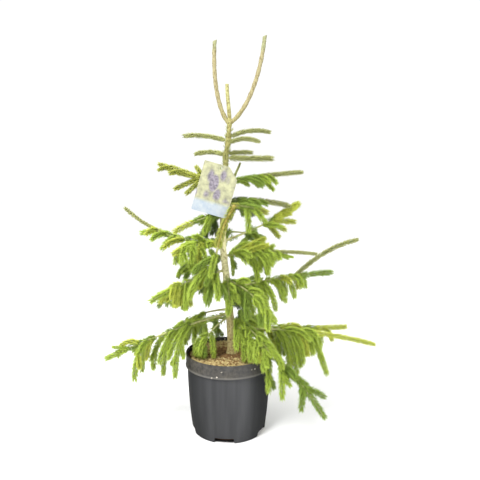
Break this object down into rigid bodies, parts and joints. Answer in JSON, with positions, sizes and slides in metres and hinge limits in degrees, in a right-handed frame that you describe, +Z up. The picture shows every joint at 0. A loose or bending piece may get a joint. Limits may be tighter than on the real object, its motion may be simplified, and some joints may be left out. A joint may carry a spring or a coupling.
{
  "type": "potted oriental spruce",
  "caption": "Young oriental spruce with bare upright leaders over open tiers of drooping needle-clad boughs, with a picture label on its stem, in a black plastic nursery pot.",
  "frame": {"origin": "middle of the pot's flat underside", "axes": "+Z up along the pot's axis, -Y towards the viewer who faces the label, +X to that viewer's right"},
  "size_m": [0.6843, 0.4531, 1.015],
  "materials": {
    "pot": "charcoal black moulded plastic, satin, dusty at the rim",
    "soil": "bark chip mulch over dark compost",
    "bark": "pale tan bark with small flaky scales and needle pegs",
    "shoot": "smooth pale tan young bark with dark needle scars",
    "needles": "short glossy needles, yellow-green at the tips of the shoots and deep green inside",
    "label": "thin printed plastic card"
  },
  "bodies": {
    "root": {"bough_fifth_left": "bark", "bough_fifth_right_back": "bark", "bough_fourth_front_right": "bark", "bough_front_arch": "bark", "bough_low_back": "bark", "bough_low_back_left": "bark", "bough_low_back_right": "bark", "bough_low_far_left": "bark", "bough_low_front_right": "bark", "bough_low_left": "bark", "bough_low_right": "bark", "bough_sixth_back_left": "bark", "bough_sixth_back_right": "bark", "bough_sixth_left": "bark", "bough_sixth_right": "bark", "foliage_fifth_back_left": "needles", "foliage_fifth_back_right": "needles", "foliage_fifth_front_left": "needles", "foliage_fifth_left": "needles", "foliage_fifth_right": "needles", "foliage_fifth_right_back": "needles", "foliage_first_back": "needles", "foliage_first_front_right": "needles", "foliage_first_left": "needles", "foliage_first_right": "needles", "foliage_fourth_back_left": "needles", "foliage_fourth_back_right": "needles", "foliage_fourth_front_right": "needles", "foliage_fourth_left": "needles", "foliage_fourth_right": "needles", "foliage_front_arch": "needles", "foliage_low_back": "needles", "foliage_low_back_left": "needles", "foliage_low_back_right": "needles", "foliage_low_far_left": "needles", "foliage_low_front": "needles", "foliage_low_front_left": "needles", "foliage_low_front_right": "needles", "foliage_low_left": "needles", "foliage_low_right": "needles", "foliage_second_back": "needles", "foliage_second_front_right": "needles", "foliage_second_left": "needles", "foliage_second_right": "needles", "foliage_sixth_back_left": "needles", "foliage_sixth_back_right": "needles", "foliage_sixth_front": "needles", "foliage_sixth_front_right": "needles", "foliage_sixth_left": "needles", "foliage_sixth_right": "needles", "foliage_third_back": "needles", "foliage_third_left": "needles", "foliage_third_right": "needles", "label_card": "label", "label_strap": "label", "leader_left": "shoot", "leader_right": "shoot", "pot": "pot", "soil": "soil", "trunk": "bark"}
  },
  "joints": []
}
